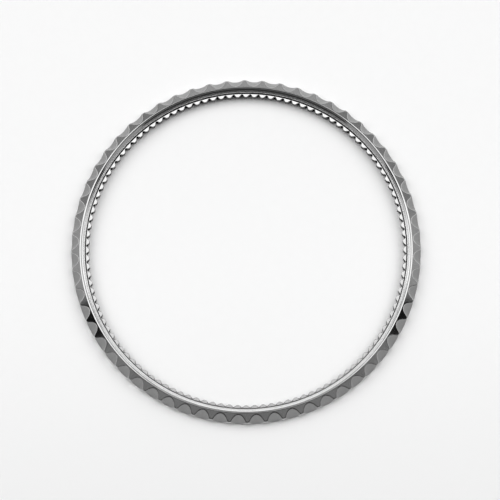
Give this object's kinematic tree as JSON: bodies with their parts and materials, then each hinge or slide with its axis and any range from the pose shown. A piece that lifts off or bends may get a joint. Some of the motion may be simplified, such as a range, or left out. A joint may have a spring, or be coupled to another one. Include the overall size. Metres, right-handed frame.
{
  "type": "rotating watch bezel",
  "caption": "Slim fluted rotating watch bezel ring with a stepped insert seat, inner ratchet teeth and a friction gasket underneath.",
  "frame": {"origin": "on the turning axis, in the plane that the bezel stands on", "axes": "+Z along the turning axis towards the wearer, +Y through the crest between two grip flutes"},
  "size_m": [0.0414, 0.0414, 0.0019],
  "materials": {
    "steel": "satin grip flutes, polished rim and insert seat",
    "gasket_rubber": "matte black"
  },
  "bodies": {
    "case_side": {"bezel_gasket": "gasket_rubber"},
    "bezel": {"bezel_ring": "steel"}
  },
  "joints": [
    {"name": "bezel_turn", "type": "hinge", "parent": "case_side", "child": "bezel", "pos_m": [0, 0, 0], "axis": [0, 0, 1], "continuous": true}
  ]
}
